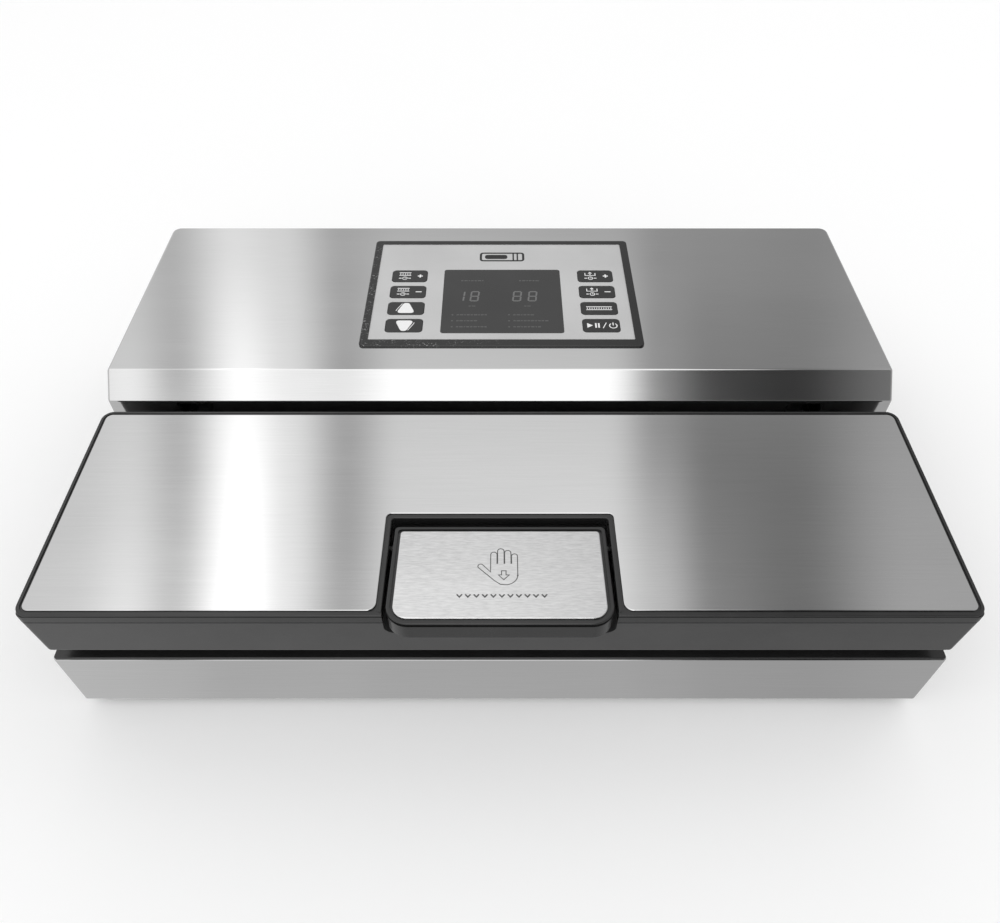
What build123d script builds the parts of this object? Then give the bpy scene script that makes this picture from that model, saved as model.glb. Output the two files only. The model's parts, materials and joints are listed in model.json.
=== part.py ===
"""Countertop vacuum sealer: steel tub, black work deck, hinged lid with a press handle, rear pump housing.

Millimetres, +Z up, front towards -Y. The origin is on the table, under the middle of the machine.
"""
from build123d import *
import os
from math import cos, radians, sin

# ---- overall ----
body_width = 500.0
half_width = body_width / 2
sheet = 1.2                      # steel sheet
wall = 2.5                       # moulded plastic wall
gap = 0.3                        # clearance beside a moving piece
fit = 0.05                       # radial clearance of a running fit
rear_y = 170.8

# ---- tub and deck ----
foot_height = 8.0
tub_top_z = 56.5
tub_front_y = -160.2
tub_corner = 2.0
deck_top_z = tub_top_z + 1.5
platform_top_z = 68.0
platform_front_y, platform_rear_y = -151.5, -50.0
platform_half = 210.0
trough_half, trough_front_y, trough_rear_y, trough_floor_z = 186.0, -110.0, -66.0, 40.0
gasket_width, groove_depth = 8.0, 3.0
gasket_half, gasket_front_y, gasket_rear_y = 196.0, -120.0, -56.0
bar_half, bar_front_y, bar_rear_y = 203.0, -142.5, -127.5
bar_low_z, bar_top_z = 60.0, 69.0
switch_x, switch_y = -231.0, -94.0   # lid switch, beside the platform

# ---- lid ----
lid_front_y, lid_back_y = -162.5, -14.0
lid_bottom_z, lid_top_z = 68.3, 107.2
lid_depth = lid_back_y - lid_front_y
lid_mid_y = (lid_back_y + lid_front_y) / 2
lid_corner = 7.0                 # of the lip; the band and shell below are sharper
band_corner = 4.0
frame_height = 7.0
rim = 3.0                        # black rim around the steel top
rim_step, rim_drop = 1.1, 0.6    # lowered strip of the rim beside the steel
lip_height, lip_groove = 0.9, 1.1
shell_top_z = lid_top_z - frame_height
panel_z = 77.5                   # underside of the lid's inner panel
skin_thickness, skin_proud = 1.2, 0.3
hinge_y, hinge_z = -34.0, 90.0
hinge_x = 200.0

# ---- press handle and its well ----
handle_half, handle_front, handle_back = 58.5, -59.3, 6.0   # plan, measured from the pivot
handle_top, handle_skirt = 12.0, 11.6
handle_raise = 4.5               # degrees, front edge up at rest
pivot_y, pivot_z, pin_radius = -111.6, 95.0, 2.0
well_half, well_rear_y, well_floor_z = 60.8, -99.1, 89.2

# ---- latch ----
latch_y, latch_z = -145.5, 83.3
hook_x = 222.0

# ---- rear housing and panel ----
housing_front_y = -5.9
housing_top_z = 122.7
bevel = 14.0
rear_corner = 6.0
panel_x = 1.5
film_x = 1.0                     # middle of the bezel and of the silver film
bezel_half, bezel_front_y, bezel_rear_y = 93.5, 29.7, 150.8
overlay_half, overlay_front_y, overlay_rear_y = 88.0, 36.1, 146.2
overlay_top_z = housing_top_z + 1.0
bezel_top_z = housing_top_z + 1.4
key_width, key_depth, key_corner, key_thickness = 24.7, 13.8, 2.6, 1.6
key_rise, key_travel = 0.2, 0.6  # above the film at rest, and how far a key goes down
key_x, key_offset, key_first_y, key_pitch = 1.75, 66.05, 50.8, 18.53
window_half, window_front_y, window_rear_y = 41.3, 42.8, 114.3
board_z = 110.0

os.makedirs("parts", exist_ok=True)


def block(low, high, mode=Mode.ADD):
    """Add or cut the box between two opposite corners."""
    with Locations(tuple((a + b) / 2 for a, b in zip(low, high))):
        Box(*(b - a for a, b in zip(low, high)), mode=mode)


def plate(low, high, radius, mode=Mode.ADD):
    """Add or cut an upright prism with rounded vertical edges between two opposite corners."""
    with BuildSketch(Plane.XY.offset(low[2])) as outline:
        with Locations(((low[0] + high[0]) / 2, (low[1] + high[1]) / 2)):
            RectangleRounded(high[0] - low[0], high[1] - low[1], radius)
    extrude(outline.sketch, amount=high[2] - low[2], mode=mode)


def rod_x(x0, x1, y, z, radius, mode=Mode.ADD):
    """Add or cut a round bar along X."""
    with Locations(Location(((x0 + x1) / 2, y, z), (0, 90, 0))):
        Cylinder(radius, abs(x1 - x0), mode=mode)


def rod_y(x, y0, y1, z, radius, mode=Mode.ADD):
    """Add or cut a round bar along Y."""
    with Locations(Location((x, (y0 + y1) / 2, z), (90, 0, 0))):
        Cylinder(radius, abs(y1 - y0), mode=mode)


def rod_z(x, y, z0, z1, radius, mode=Mode.ADD):
    """Add or cut an upright round bar."""
    with Locations((x, y, (z0 + z1) / 2)):
        Cylinder(radius, abs(z1 - z0), mode=mode)


def ring(half, front_y, rear_y_, low_z, high_z, width, radius, mode=Mode.ADD):
    """Add or cut a rounded rectangular ring, given by its outer outline and its width."""
    with BuildSketch(Plane.XY.offset(low_z)) as outline:
        with Locations((0, (front_y + rear_y_) / 2)):
            RectangleRounded(2 * half, rear_y_ - front_y, radius)
            RectangleRounded(2 * (half - width), rear_y_ - front_y - 2 * width,
                             max(radius - width, 1.0), mode=Mode.SUBTRACT)
    extrude(outline.sketch, amount=high_z - low_z, mode=mode)


def save(piece, name):
    """Label a finished piece and write its STEP file."""
    piece.label = name
    export_step(piece, f"parts/{name}.step")


# =========================================================== tub, feet and deck

foot_places = [(sx * 215.0, y) for sx in (-1, 1) for y in (-130.0, 140.0)]
tub_screw_places = [(sx * 235.0, y) for sx in (-1, 1) for y in (-110.0, 5.0, 115.0)]
vent_xs = [-150.0 + 14.0 * i for i in range(8)]
flange = 12.0

with BuildPart() as base_shell:
    plate((-half_width, tub_front_y, foot_height), (half_width, rear_y, tub_top_z), tub_corner)
    fillet(base_shell.faces().sort_by(Axis.Z)[0].edges(), 1.6)
    offset(amount=-sheet, openings=base_shell.faces().sort_by(Axis.Z)[-1])
    ring(half_width - sheet, tub_front_y + sheet, rear_y - sheet, tub_top_z - sheet, tub_top_z,
         flange, tub_corner - sheet)
    fillet(base_shell.faces().sort_by(Axis.Z)[-1].outer_wire().edges(), 0.3)
    for x in vent_xs:
        plate((x - 2.5, 60.0, foot_height - 1), (x + 2.5, 110.0, foot_height + 2), 2.4, Mode.SUBTRACT)
    for x, y in foot_places:
        rod_z(x, y, foot_height - 1, foot_height + 2, 2.0, Mode.SUBTRACT)
    for x, y in tub_screw_places:
        rod_z(x, y, foot_height - 1, foot_height + 0.6, 3.5, Mode.SUBTRACT)
        rod_z(x, y, foot_height, foot_height + 2, 1.5, Mode.SUBTRACT)
save(base_shell.part, "base_shell")

with BuildPart() as rubber_feet:
    for x, y in foot_places:
        rod_z(x, y, 0, foot_height, 11.0)
    fillet(rubber_feet.edges().group_by(Axis.Z)[0], 1.5)
    for x, y in foot_places:
        rod_z(x, y, foot_height, foot_height + 4.0, 2.0)
        rod_z(x, y, foot_height + sheet, foot_height + 4.0, 4.0)
save(rubber_feet.part, "rubber_feet")

with BuildPart() as deck:
    plate((-half_width + 0.6, tub_front_y + 0.6, tub_top_z),
          (half_width - 0.6, housing_front_y - 0.5, deck_top_z), tub_corner - 0.6)
    fillet(deck.faces().sort_by(Axis.Z)[-1].edges(), 0.6)
    plate((-platform_half, platform_front_y, tub_top_z - 1),
          (platform_half, platform_rear_y, deck_top_z + 1), 6.0, Mode.SUBTRACT)
    block((switch_x - 4.0, switch_y - 6.0, tub_top_z - 1), (switch_x + 4.0, switch_y + 6.0, deck_top_z + 1),
          Mode.SUBTRACT)
save(deck.part, "deck")

platform_thickness, bar_play = 4.5, 0.5
with BuildPart() as platform:
    plate((-platform_half, platform_front_y, tub_top_z),
          (platform_half, platform_rear_y, platform_top_z), 6.0)
    fillet(platform.faces().sort_by(Axis.Z)[-1].edges(), 1.5)
    block((-platform_half + wall, platform_front_y + wall, tub_top_z - 1),
          (platform_half - wall, platform_rear_y - wall, platform_top_z - platform_thickness), Mode.SUBTRACT)
    plate((-bar_half - wall, bar_front_y - wall, tub_top_z),
          (bar_half + wall, bar_rear_y + wall, platform_top_z), 2.0)
    plate((-trough_half, trough_front_y, tub_top_z - 1),
          (trough_half, trough_rear_y, platform_top_z + 1), 4.0, Mode.SUBTRACT)
    block((-bar_half - bar_play, bar_front_y - bar_play, bar_low_z),
          (bar_half + bar_play, bar_rear_y + bar_play, platform_top_z + 1), Mode.SUBTRACT)
    ring(gasket_half, gasket_front_y, gasket_rear_y, platform_top_z - groove_depth, platform_top_z + 1,
         gasket_width, 10.0, Mode.SUBTRACT)
save(platform.part, "platform")

nozzle_x, nozzle_z, nozzle_y = 120.0, 59.0, trough_rear_y + 8.0
with BuildPart() as trough:
    plate((-trough_half - wall, trough_front_y - wall, trough_floor_z - wall),
          (trough_half + wall, trough_rear_y + wall, platform_top_z - platform_thickness), 6.0)
    plate((-trough_half, trough_front_y, trough_floor_z), (trough_half, trough_rear_y, platform_top_z), 4.0,
          Mode.SUBTRACT)
    rod_y(nozzle_x, trough_rear_y - 1, trough_rear_y + wall + 1, nozzle_z, 3.5, Mode.SUBTRACT)
save(trough.part, "trough")

with BuildPart() as lower_gasket:
    ring(gasket_half, gasket_front_y, gasket_rear_y, platform_top_z - groove_depth, platform_top_z + 3.0,
         gasket_width, 10.0)
    fillet(lower_gasket.faces().sort_by(Axis.Z)[-1].edges(), 2.5)
save(lower_gasket.part, "lower_gasket")

tray_top_z = 53.0
with BuildPart() as drip_tray:
    plate((-trough_half + 1, trough_front_y + 1, trough_floor_z),
          (trough_half - 1, trough_rear_y - 1, tray_top_z), 3.0)
    offset(amount=-1.5, openings=drip_tray.faces().sort_by(Axis.Z)[-1])
    for end in (-1, 1):
        block((end * 172.0 - 9.0, -92.0, tray_top_z - 3.0), (end * 172.0 + 9.0, -84.0, tray_top_z - 1.5))
        block((end * 172.0 - 1.0, -92.0, trough_floor_z + 1.0), (end * 172.0 + 1.0, -84.0, tray_top_z - 2.0))
save(drip_tray.part, "drip_tray")

with BuildPart() as seal_bar:
    block((-bar_half, bar_front_y, bar_low_z), (bar_half, bar_rear_y, bar_top_z))
    fillet(seal_bar.faces().sort_by(Axis.Z)[-1].edges().filter_by(Axis.X), 1.5)
save(seal_bar.part, "seal_bar")

bar_mid_y = (bar_front_y + bar_rear_y) / 2
strip_half, strip_top_z = 2.5, bar_top_z + 0.3
tape_half, tape_thickness = 5.5, 0.25
with BuildPart() as heating_strip:
    block((-bar_half + 2, bar_mid_y - strip_half, bar_top_z),
          (bar_half - 2, bar_mid_y + strip_half, strip_top_z))
save(heating_strip.part, "heating_strip")

with BuildPart() as sealing_tape:
    block((-bar_half + 1, bar_mid_y - tape_half, strip_top_z),
          (bar_half - 1, bar_mid_y + tape_half, strip_top_z + tape_thickness))
    for near, far in ((-tape_half, -strip_half - gap), (strip_half + gap, tape_half)):
        block((-bar_half + 1, bar_mid_y + near, bar_top_z), (bar_half - 1, bar_mid_y + far, strip_top_z))
save(sealing_tape.part, "sealing_tape")

nozzle_radius, nozzle_elbow, nozzle_drop = 3.5, 4.5, 14.0
with BuildPart() as intake_nozzle:
    rod_y(nozzle_x, trough_rear_y - 4.0, nozzle_y, nozzle_z, nozzle_radius)
    rod_y(nozzle_x, trough_rear_y - 4.0, trough_rear_y, nozzle_z, nozzle_radius + 2.0)
    block((nozzle_x - nozzle_elbow, nozzle_y - nozzle_elbow, nozzle_z - 8.0),
          (nozzle_x + nozzle_elbow, nozzle_y + nozzle_elbow, nozzle_z + 4.0))
    rod_z(nozzle_x, nozzle_y, nozzle_z - nozzle_drop, nozzle_z - 7.0, nozzle_radius)
    rod_y(nozzle_x, trough_rear_y - 5.0, nozzle_y + 1.5, nozzle_z, 2.0, Mode.SUBTRACT)
    rod_z(nozzle_x, nozzle_y, nozzle_z - nozzle_drop - 1, nozzle_z, 1.8, Mode.SUBTRACT)
save(intake_nozzle.part, "intake_nozzle")

# strikers: a bridge on each side of the deck, whose bar the lid's hooks swing under
bar_reach = 14.0
bar_angle = radians(-43.0)
striker_y = latch_y + bar_reach * cos(bar_angle)
striker_z = latch_z + bar_reach * sin(bar_angle)
with BuildPart() as strikers:
    for side in (-1, 1):
        x = side * hook_x
        block((x - 9.0, striker_y - 3.0, deck_top_z), (x + 9.0, striker_y + 10.0, deck_top_z + 1.5))
        for cheek in (-1, 1):
            cheek_x = x + cheek * 7.0
            block((cheek_x - 1.0, striker_y - 2.0, deck_top_z),
                  (cheek_x + 1.0, striker_y + 6.0, striker_z + 2.0))
        rod_x(x - 8.0, x + 8.0, striker_y, striker_z, 2.0)
save(strikers.part, "strikers")

with BuildPart() as lid_switch:
    block((switch_x - 3.5, switch_y - 5.5, deck_top_z - 12.0),
          (switch_x + 3.5, switch_y + 5.5, deck_top_z + 2.0))
    block((switch_x - 1.5, switch_y - 2.0, deck_top_z + 2.0), (switch_x + 1.5, switch_y + 2.0, panel_z - 1.0))
    fillet(lid_switch.faces().sort_by(Axis.Z)[-1].edges(), 1.0)
save(lid_switch.part, "lid_switch")

# =========================================================== hinges

post_half, ear_near, ear_width = 5.0, 6.0, 5.0
knuckle_radius, hinge_pin_radius = 6.0, 3.0
arm_reach, mount_half = 34.0, 16.0
with BuildPart() as hinge_brackets:
    for side in (-1, 1):
        x = side * hinge_x
        block((x - mount_half, hinge_y - 12.0, deck_top_z),
              (x + mount_half, hinge_y + 12.0, deck_top_z + 2.0))
        block((x - post_half, hinge_y - knuckle_radius, deck_top_z),
              (x + post_half, hinge_y + knuckle_radius, hinge_z))
        rod_x(x - post_half, x + post_half, hinge_y, hinge_z, knuckle_radius)
        rod_x(x - post_half, x + post_half, hinge_y, hinge_z, hinge_pin_radius, Mode.SUBTRACT)
save(hinge_brackets.part, "hinge_brackets")

with BuildPart() as hinge_pins:
    for side in (-1, 1):
        x = side * hinge_x
        rod_x(x - 13.0, x + 13.0, hinge_y, hinge_z, hinge_pin_radius)
save(hinge_pins.part, "hinge_pins")

with BuildPart() as hinge_arms:
    for side in (-1, 1):
        for ear in (-1, 1):
            x0 = side * hinge_x + ear * (ear_near + ear_width / 2)
            low, high = x0 - ear_width / 2, x0 + ear_width / 2
            rod_x(low, high, hinge_y, hinge_z, knuckle_radius)
            block((low, hinge_y - arm_reach, hinge_z - knuckle_radius), (high, hinge_y, hinge_z + 5.0))
            rod_x(low, high, hinge_y, hinge_z, hinge_pin_radius + fit, Mode.SUBTRACT)
        x = side * hinge_x
        block((x - mount_half, hinge_y - arm_reach - 2.0, panel_z + wall),
              (x + mount_half, hinge_y - 16.0, hinge_z - 5.0))
save(hinge_arms.part, "hinge_arms")

# =========================================================== lid

notch_rim_rear_y = well_rear_y + rim
window_edge = 17.0               # frame border that carries the steel top

with BuildPart() as lid_frame:
    for low_z, height, inset, corner in (
            (shell_top_z, frame_height - lip_height - lip_groove, 0.3, band_corner),
            (lid_top_z - lip_height - lip_groove, lip_groove, 1.8, band_corner - 1.5),
            (lid_top_z - lip_height, lip_height, 0.0, lid_corner)):
        plate((-half_width + inset, lid_front_y + inset, low_z),
              (half_width - inset, lid_back_y - inset, low_z + height), corner)
    fillet(lid_frame.faces().sort_by(Axis.Z)[-1].edges(), 0.6)
    plate((-half_width + rim - rim_step, lid_front_y + rim - rim_step, lid_top_z - rim_drop),
          (half_width - rim + rim_step, lid_back_y - rim + rim_step, lid_top_z + 1),
          lid_corner - rim + rim_step, Mode.SUBTRACT)
    plate((-half_width + rim, lid_front_y + rim, lid_top_z + skin_proud - skin_thickness),
          (half_width - rim, lid_back_y - rim, lid_top_z + 1), lid_corner - rim, Mode.SUBTRACT)
    # border of the handle's well: a low strip beside the steel, and a bead at the well's edge
    plate((-well_half - rim, lid_front_y + 1.9, shell_top_z),
          (well_half + rim, notch_rim_rear_y, lid_top_z - rim_drop), 3.0)
    plate((-well_half - rim + rim_step, lid_front_y + 1.9, shell_top_z),
          (well_half + rim - rim_step, notch_rim_rear_y - rim_step, lid_top_z), 2.0)
    block((-half_width + window_edge, lid_front_y + window_edge, shell_top_z - 1),
          (-well_half - window_edge, lid_back_y - window_edge, lid_top_z + 1), Mode.SUBTRACT)
    block((well_half + window_edge, lid_front_y + window_edge, shell_top_z - 1),
          (half_width - window_edge, lid_back_y - window_edge, lid_top_z + 1), Mode.SUBTRACT)
    block((-well_half - window_edge - 1, well_rear_y + window_edge, shell_top_z - 1),
          (well_half + window_edge + 1, lid_back_y - window_edge, lid_top_z + 1), Mode.SUBTRACT)
    plate((-well_half, lid_front_y - 20.0, shell_top_z - 1), (well_half, well_rear_y, lid_top_z + 1), 2.0,
          Mode.SUBTRACT)
    well_edges = lid_frame.edges().filter_by(
        lambda e: e.center().Z > lid_top_z - 0.01 and abs(e.center().X) < well_half + 0.1
        and lid_front_y + 1.5 < e.center().Y < well_rear_y + 0.1)
    fillet(well_edges, 0.6)
save(lid_frame.part, "lid_frame")

with BuildPart() as lid_skin:
    with BuildSketch(Plane.XY.offset(lid_top_z + skin_proud - skin_thickness)) as skin_outline:
        with Locations((0, lid_mid_y)):
            Rectangle(body_width - 2 * rim - 0.2, lid_depth - 2 * rim - 0.2)
        with Locations((0, (lid_front_y + notch_rim_rear_y) / 2 + 0.1)):
            Rectangle(2 * (well_half + rim) + 0.2, notch_rim_rear_y - lid_front_y, mode=Mode.SUBTRACT)
        inner_corners = skin_outline.vertices().filter_by(lambda v: abs(v.X) < 100 and v.Y > lid_mid_y - 20)
        fillet(inner_corners, 3.0)
        front_corners = skin_outline.vertices().filter_by(
            lambda v: abs(abs(v.X) - well_half - rim) < 1 and v.Y < -150)
        fillet(front_corners, 5.0)
        fillet(skin_outline.vertices().filter_by(lambda v: abs(v.X) > half_width - 4), 4.0)
    extrude(amount=skin_thickness)
    fillet(lid_skin.faces().sort_by(Axis.Z)[-1].edges(), 0.5)
save(lid_skin.part, "lid_skin")

shell_groove = 0.7               # parting line under the frame
shell_taper = 2.4                # inset of each end at the bottom
channel_low_z, seal_tip_z = 74.0, 71.7
with BuildPart() as lid_lower_shell:
    with BuildSketch(Plane.XY.offset(lid_bottom_z)):
        with Locations((0, lid_mid_y)):
            RectangleRounded(body_width - 2 * shell_taper, lid_depth - 2.4, band_corner - 0.8)
    with BuildSketch(Plane.XY.offset(shell_top_z - shell_groove)):
        with Locations((0, lid_mid_y)):
            RectangleRounded(body_width - 0.8, lid_depth - 0.8, band_corner)
    loft()
    fillet(lid_lower_shell.faces().sort_by(Axis.Z)[0].edges(), 2.7)
    plate((-half_width + 1.6, lid_front_y + 1.6, shell_top_z - shell_groove),
          (half_width - 1.6, lid_back_y - 1.6, shell_top_z), band_corner - 1.2)
    plate((-half_width + 6.5, lid_front_y + 4.5, panel_z + wall),
          (half_width - 6.5, lid_back_y - 4.5, shell_top_z + 1), 3.0, Mode.SUBTRACT)
    plate((-half_width + 8.5, lid_front_y + 6.0, lid_bottom_z - 1),
          (half_width - 8.5, lid_back_y - 6.0, panel_z), 3.0, Mode.SUBTRACT)
    # well of the press handle
    block((-well_half - rim, lid_front_y + 3.0, well_floor_z - wall),
          (well_half + rim, notch_rim_rear_y, shell_top_z))
    with BuildSketch(Plane.XZ.offset(-well_rear_y)) as well_section:
        with Locations((0, well_floor_z + 30.0)):
            RectangleRounded(2 * well_half, 60.0, 6.0)
    extrude(well_section.sketch, amount=well_rear_y - lid_front_y + 20.0, mode=Mode.SUBTRACT)
    # raised channels that hold the upper gasket and the pressure strip
    ring(gasket_half + wall, gasket_front_y - wall, gasket_rear_y + wall, channel_low_z, panel_z,
         gasket_width + 2 * wall, 12.0)
    ring(gasket_half, gasket_front_y, gasket_rear_y, channel_low_z - 1, panel_z, gasket_width, 10.0,
         Mode.SUBTRACT)
    block((-bar_half - wall, bar_mid_y - 4.0 - wall, channel_low_z),
          (bar_half + wall, bar_mid_y + 4.0 + wall, panel_z))
    block((-bar_half, bar_mid_y - 4.0, channel_low_z - 1), (bar_half, bar_mid_y + 4.0, panel_z),
          Mode.SUBTRACT)
    # slots for the hooks, the crank, the press finger, the hinge posts and the handle pin
    for side in (-1, 1):
        block((side * hook_x - 4.0, latch_y - 9.0, panel_z - 1),
              (side * hook_x + 4.0, latch_y + 20.0, panel_z + wall + 1), Mode.SUBTRACT)
        block((side * hinge_x - 11.5, hinge_y - 10.0, lid_bottom_z - 1),
              (side * hinge_x + 11.5, lid_back_y + 1, hinge_z + 8.0), Mode.SUBTRACT)
    block((-9.0, latch_y - 13.0, panel_z - 1), (9.0, latch_y + 1.0, panel_z + wall + 1), Mode.SUBTRACT)
    block((-9.0, latch_y - 12.0, well_floor_z - wall - 1),
          (9.0, latch_y - 2.0, well_floor_z + 1), Mode.SUBTRACT)
    rod_x(-well_half - rim - 1, well_half + rim + 1, pivot_y, pivot_z, pin_radius, Mode.SUBTRACT)
save(lid_lower_shell.part, "lid_lower_shell")

with BuildPart() as upper_gasket:
    ring(gasket_half, gasket_front_y, gasket_rear_y, seal_tip_z, panel_z, gasket_width, 10.0)
    fillet(upper_gasket.faces().sort_by(Axis.Z)[0].edges(), 2.5)
save(upper_gasket.part, "upper_gasket")

with BuildPart() as pressure_strip:
    block((-bar_half, bar_mid_y - 4.0, seal_tip_z), (bar_half, bar_mid_y + 4.0, panel_z))
    fillet(pressure_strip.faces().sort_by(Axis.Z)[0].edges().filter_by(Axis.X), 2.0)
save(pressure_strip.part, "pressure_strip")

# =========================================================== press handle

raise_angle = radians(handle_raise)
tilted = Plane(origin=(0, pivot_y, pivot_z), x_dir=(1, 0, 0), z_dir=(0, sin(raise_angle), cos(raise_angle)))
plate_border, plate_depth = 3.4, 1.2
plate_recess = 1.0               # channel around the plate
lip_edge, step_height = 0.7, 2.0  # thin lip over a dark step all around the handle


def handle_outline(grow, front_radius, rear_radius):
    """The handle's plan, with larger radii at its two front corners; grow is negative for smaller."""
    outline = Sketch() + Pos(0, (handle_front + handle_back) / 2) * Rectangle(
        2 * (handle_half + grow), handle_back - handle_front + 2 * grow)
    corners = outline.vertices().group_by(Axis.Y)
    outline = fillet(corners[0], front_radius)
    return fillet(outline.vertices().group_by(Axis.Y)[-1], rear_radius)


outer_plan = handle_outline(0.0, 12.0, 2.5)
inner_plan = handle_outline(-wall, 9.5, 1.5)
plate_plan = handle_outline(-plate_border, 8.0, 2.0)
recess_plan = handle_outline(-plate_border + 1.4, 9.6, 2.2)
groove_plan = handle_outline(1.0, 12.8, 3.2) - handle_outline(-1.2, 11.0, 1.6)
finger_front, finger_rear, finger_bottom = -44.8, -42.6, -13.2
lug_x, lug_half = 50.0, 4.0

with BuildPart() as handle_frame:
    extrude(tilted.offset(handle_top - handle_skirt) * outer_plan, amount=handle_skirt)
    fillet(handle_frame.faces().sort_by(Axis.Z)[-1].edges(), 0.6)
    extrude(tilted.offset(handle_top - plate_recess) * recess_plan, amount=plate_recess + 1,
            mode=Mode.SUBTRACT)
    extrude(tilted.offset(handle_top - lip_edge - step_height) * groove_plan, amount=step_height,
            mode=Mode.SUBTRACT)
    extrude(tilted.offset(handle_top - handle_skirt - 1) * inner_plan, amount=handle_skirt - 2.0,
            mode=Mode.SUBTRACT)
    extrude(tilted.offset(handle_top - plate_depth) * plate_plan, amount=plate_depth + 1, mode=Mode.SUBTRACT)
    for side in (-1, 1):
        rod_x(side * lug_x - lug_half, side * lug_x + lug_half, pivot_y, pivot_z, 4.5)
        block((side * lug_x - lug_half, pivot_y - 4.0, pivot_z),
              (side * lug_x + lug_half, pivot_y + 4.0, pivot_z + 9.5))
    with Locations(tilted.offset(finger_bottom)):
        with Locations((0, (finger_front + finger_rear) / 2, 0)):
            Box(8.0, finger_rear - finger_front, handle_top - 2.5 - finger_bottom,
                align=(Align.CENTER, Align.CENTER, Align.MIN))
    rod_x(-handle_half - 1, handle_half + 1, pivot_y, pivot_z, pin_radius + fit, Mode.SUBTRACT)
save(handle_frame.part, "handle_frame")

with BuildPart() as handle_plate:
    extrude(tilted.offset(handle_top - plate_depth) * plate_plan, amount=plate_depth + 0.1)
    fillet(handle_plate.faces().sort_by(Axis.Z)[-1].edges(), 0.5)
save(handle_plate.part, "handle_plate")

with BuildPart() as handle_pin:
    rod_x(-well_half - rim, well_half + rim, pivot_y, pivot_z, pin_radius)
save(handle_pin.part, "handle_pin")

spring_x, spring_y, spring_top_z = 35.0, -141.0, 104.6
with BuildPart() as handle_springs:
    with BuildLine() as coil:
        Helix(pitch=2.8, height=spring_top_z - well_floor_z - 1.0, radius=3.6,
              center=(spring_x, spring_y, well_floor_z + 0.5))
    with BuildSketch(Plane(origin=coil.line @ 0, z_dir=coil.line % 0)):
        Circle(0.45)
    sweep(path=coil.line, is_frenet=True)
    mirror(about=Plane.YZ)
save(handle_springs.part, "handle_springs")

# =========================================================== latch

shaft_half, nose_inner, nose_outer = 2.5, 16.4, 20.0
nose_ahead, nose_behind = radians(-69.0), radians(-110.0)

with BuildPart() as latch_shaft:
    rod_x(-hook_x - 6.0, hook_x + 6.0, latch_y, latch_z, shaft_half)
    block((-5.0, latch_y - 10.5, latch_z - 1.4), (5.0, latch_y, latch_z + 1.6))
    for x in (-120.0, 120.0):
        rod_x(x - 7.0, x - 5.0, latch_y, latch_z, shaft_half + 0.8)
        rod_x(x + 5.0, x + 7.0, latch_y, latch_z, shaft_half + 0.8)
save(latch_shaft.part, "latch_shaft")


with BuildPart() as latch_hooks:
    for side in (-1, 1):
        hook_plane = Plane(origin=(side * hook_x, latch_y, latch_z), x_dir=(0, 1, 0), z_dir=(1, 0, 0))
        with BuildSketch(hook_plane):
            with BuildLine():
                Polyline((0, 0), (2 * nose_outer * cos(nose_ahead), 2 * nose_outer * sin(nose_ahead)),
                         (2 * nose_outer * cos(nose_behind), 2 * nose_outer * sin(nose_behind)), close=True)
            make_face()
            Circle(nose_inner, mode=Mode.SUBTRACT)
            with Locations((0.0, -nose_inner / 2 - 0.5)):
                Rectangle(6.0, nose_inner + 1.0)
            Circle(nose_outer, mode=Mode.INTERSECT)
            Circle(5.0)
            Circle(shaft_half, mode=Mode.SUBTRACT)
        extrude(amount=1.5, both=True)
save(latch_hooks.part, "latch_hooks")

with BuildPart() as latch_bearings:
    for x in (-205.0, -120.0, 120.0, 205.0):
        block((x - 4.0, latch_y - 5.0, panel_z + wall), (x + 4.0, latch_y + 5.0, latch_z + 3.2))
        rod_x(x - 5.0, x + 5.0, latch_y, latch_z, shaft_half + fit, Mode.SUBTRACT)
save(latch_bearings.part, "latch_bearings")

# =========================================================== rear housing

opening_half, opening_low_z, opening_high_z = 205.0, 68.0, 112.0
inlet_x, inlet_z = 150.0, 90.0
fan_x, fan_z = -150.0, 90.0
rear_screw_places = [(x, z) for x in (-215.0, 0.0, 215.0) for z in (64.5, 116.0)]

with BuildPart() as housing_cover:
    with BuildSketch(Plane.YZ):
        with BuildLine():
            Polyline((housing_front_y, tub_top_z), (housing_front_y, housing_top_z - bevel),
                     (housing_front_y + bevel, housing_top_z), (rear_y, housing_top_z), (rear_y, tub_top_z),
                     close=True)
        make_face()
    extrude(amount=half_width, both=True)
    front_bends = housing_cover.edges().filter_by(Axis.X).filter_by(
        lambda e: e.center().Z > tub_top_z + 1 and e.center().Y < 20)
    fillet(front_bends, 2.4)
    rear_edges = housing_cover.edges().filter_by(Axis.Z).filter_by(lambda e: e.center().Y > rear_y - 1)
    fillet(rear_edges, rear_corner)
    top_edges = housing_cover.faces().sort_by(Axis.Z)[-1].edges().filter_by(lambda e: e.center().Y > 15)
    fillet(top_edges, 1.6)
    offset(amount=-sheet, openings=housing_cover.faces().sort_by(Axis.Z)[0])
    plate((panel_x - 80.0, 41.5, housing_top_z - 5), (panel_x + 80.0, 136.0, housing_top_z + 1), 4.0,
          Mode.SUBTRACT)
    block((-opening_half, rear_y - 5, opening_low_z),
          (opening_half, rear_y + 1, opening_high_z), Mode.SUBTRACT)
    for x, z in rear_screw_places:
        rod_y(x, rear_y - 5, rear_y + 1, z, 3.0, Mode.SUBTRACT)
save(housing_cover.part, "housing_cover")

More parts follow.
